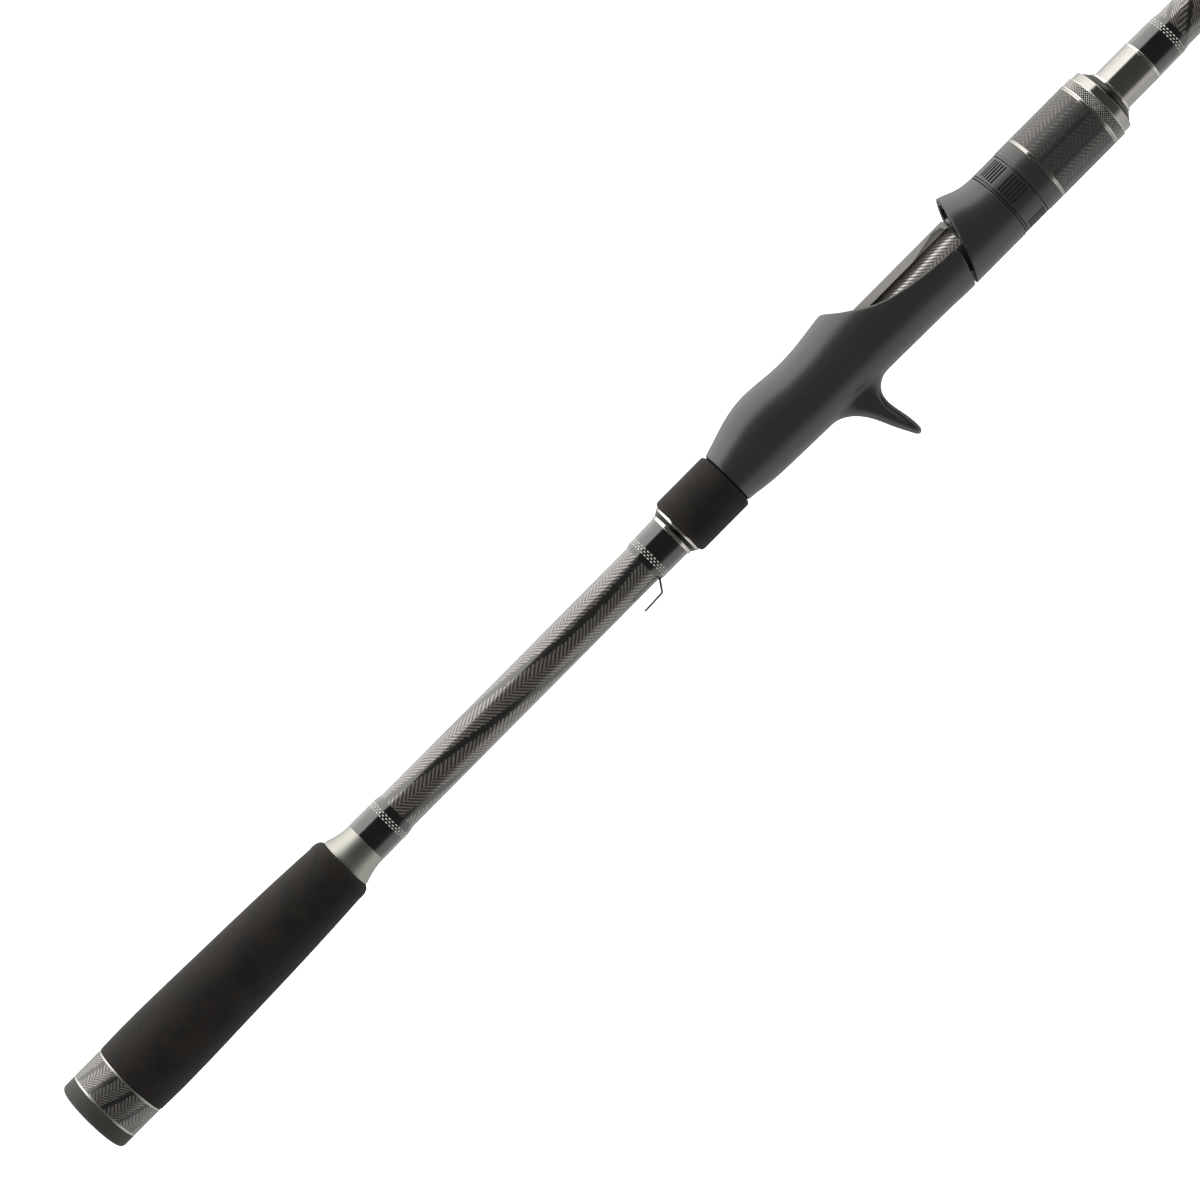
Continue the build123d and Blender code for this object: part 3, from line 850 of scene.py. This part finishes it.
# ------------------------------------------------------------------ CAD nodes that keep their shape
CARRIED = {
    "butt_cap": RUBBER,
    "butt_sleeve_core": EVA, "foregrip_core": EVA, "seat_arbor_rear": EVA, "seat_arbor_front": EVA,
    "rear_wrap": WRAP, "seat_rear_wrap": WRAP, "front_wrap": WRAP, "hook_keeper": KEEPER,
    "reel_deck": DECK, "fixed_hood_liner": STEEL, "movable_hood_liner": STEEL,
    "locking_nut": SEAT, "tip_top_frame": GUIDE_METAL, "tip_top_ring": CERAMIC,
}
for number in range(1, 9):
    CARRIED[f"guide_frame_{number}"] = GUIDE_METAL
    CARRIED[f"guide_ring_{number}"] = CERAMIC
    CARRIED[f"guide_wrap_{number}"] = WRAP
for node, material in CARRIED.items():
    mesh = NODES[node].data
    mesh.materials.clear()
    mesh.materials.append(material)


# ------------------------------------------------------------------ stage, light and camera
def make_floor():
    """Plain white floor just under the trigger's tip, in metres."""
    gap, half = 0.0005, 30.0
    level = CAD_BOX[0].z - gap
    mesh = bpy.data.meshes.new("floor")
    corners = [(-half, -half, level), (half, -half, level), (half, half, level),
               (-half, half, level)]
    mesh.from_pydata(corners, [], [(0, 1, 2, 3)])
    floor = bpy.data.objects.new("floor", mesh)
    bpy.context.scene.collection.objects.link(floor)
    s = Shader("floor_white")
    s.set(Base_Color=(0.9, 0.9, 0.9, 1.0), Roughness=0.9, Emission_Color=(1.0, 1.0, 1.0, 1.0),
          Emission_Strength=0.75)
    mesh.materials.append(s.material)
    floor.visible_diffuse = False
    floor.visible_glossy = False
    floor.visible_shadow = False


# Light by its climb in degrees, seen along X: 0 is the camera's side, 90 is overhead, 180 is behind
# and -90 is below. The second value is the strength.
REFLECTED_LIGHT = [(-180, 0.3), (-162, 0.5), (-140, 1.0), (-72, 1.45), (-54, 0.20), (-20, 0.15),
                   (50, 0.13), (53, 3.9), (90, 3.5), (120, 2.6), (142, 1.6), (162, 0.5), (180, 0.3)]
FILL_LIGHT = [(-180, 0.6), (-90, 0.42), (-45, 0.34), (20, 0.46), (60, 1.3), (130, 1.2), (180, 0.8)]
WARMTH = (1.0, 0.985, 0.955)
BACKDROP_STRENGTH = 1.6


def make_world():
    """A studio as a world: white for the camera, a broad softbox overhead and behind, and a dark
    side where the camera stands, which puts the dark band along the middle of each gloss tube."""
    world = bpy.data.worlds.new("studio")
    bpy.context.scene.world = world
    world.use_nodes = True
    nodes, links = world.node_tree.nodes, world.node_tree.links
    nodes.clear()

    def maths(operation, a, b):
        node = nodes.new("ShaderNodeMath")
        node.operation = operation
        for value, socket in zip((a, b), node.inputs):
            if isinstance(value, bpy.types.NodeSocket):
                links.new(value, socket)
            else:
                socket.default_value = value
        return node.outputs[0]

    def light(profile):
        """A background whose strength follows the profile."""
        peak = max(strength for _, strength in profile)
        ramp = nodes.new("ShaderNodeValToRGB")
        stops = ramp.color_ramp.elements
        while len(stops) < len(profile):
            stops.new(0.5)
        for stop, (degrees, _) in zip(stops, profile):
            stop.position = (degrees + 180) / 360
        for stop, (_, strength) in zip(stops, profile):
            stop.color = (*(part * strength / peak for part in WARMTH), 1.0)
        links.new(share, ramp.inputs[0])
        background = nodes.new("ShaderNodeBackground")
        background.inputs["Strength"].default_value = peak
        links.new(ramp.outputs[0], background.inputs["Color"])
        return background.outputs[0]

    def choose(when, otherwise, chosen):
        """The chosen light for the rays of one kind, and the other light for all the rest."""
        mixer = nodes.new("ShaderNodeMixShader")
        links.new(when, mixer.inputs[0])
        links.new(otherwise, mixer.inputs[1])
        links.new(chosen, mixer.inputs[2])
        return mixer.outputs[0]

    direction = nodes.new("ShaderNodeTexCoord")
    split = nodes.new("ShaderNodeSeparateXYZ")
    links.new(direction.outputs["Generated"], split.inputs[0])
    climb = maths("ARCTAN2", split.outputs[2], maths("MULTIPLY", split.outputs[1], -1.0))
    share = maths("ADD", maths("DIVIDE", climb, TAU), 0.5)
    white = nodes.new("ShaderNodeBackground")
    white.inputs["Strength"].default_value = BACKDROP_STRENGTH
    rays = nodes.new("ShaderNodeLightPath")
    lit = choose(rays.outputs["Is Glossy Ray"], light(FILL_LIGHT), light(REFLECTED_LIGHT))
    seen = choose(rays.outputs["Is Camera Ray"], lit, white.outputs[0])
    out = nodes.new("ShaderNodeOutputWorld")
    links.new(seen, out.inputs[0])


CAMERA_PLACE = Vector((0.232, -1.604, 0.0))
CAMERA_TARGET = Vector((0.2467, 0.0, 0.00168))
CAMERA_ROLL = math.radians(45.2)
CAMERA_SENSOR = 36.0
CAMERA_LENS = 141.37


def make_camera():
    """Level with the rod and square to it, rolled so that the rod climbs to the upper right."""
    data = bpy.data.cameras.new("camera")
    data.sensor_width = CAMERA_SENSOR
    data.lens = CAMERA_LENS
    camera = bpy.data.objects.new("camera", data)
    bpy.context.scene.collection.objects.link(camera)
    back = (CAMERA_PLACE - CAMERA_TARGET).normalized()
    up = Vector((math.sin(CAMERA_ROLL), 0.0, math.cos(CAMERA_ROLL)))
    right = up.cross(back).normalized()
    up = back.cross(right)
    turn = Matrix((right, up, back)).transposed()
    camera.matrix_world = Matrix.Translation(CAMERA_PLACE) @ turn.to_4x4()
    bpy.context.scene.camera = camera


make_floor()
make_world()
make_camera()
bpy.context.scene.view_settings.view_transform = "Standard"
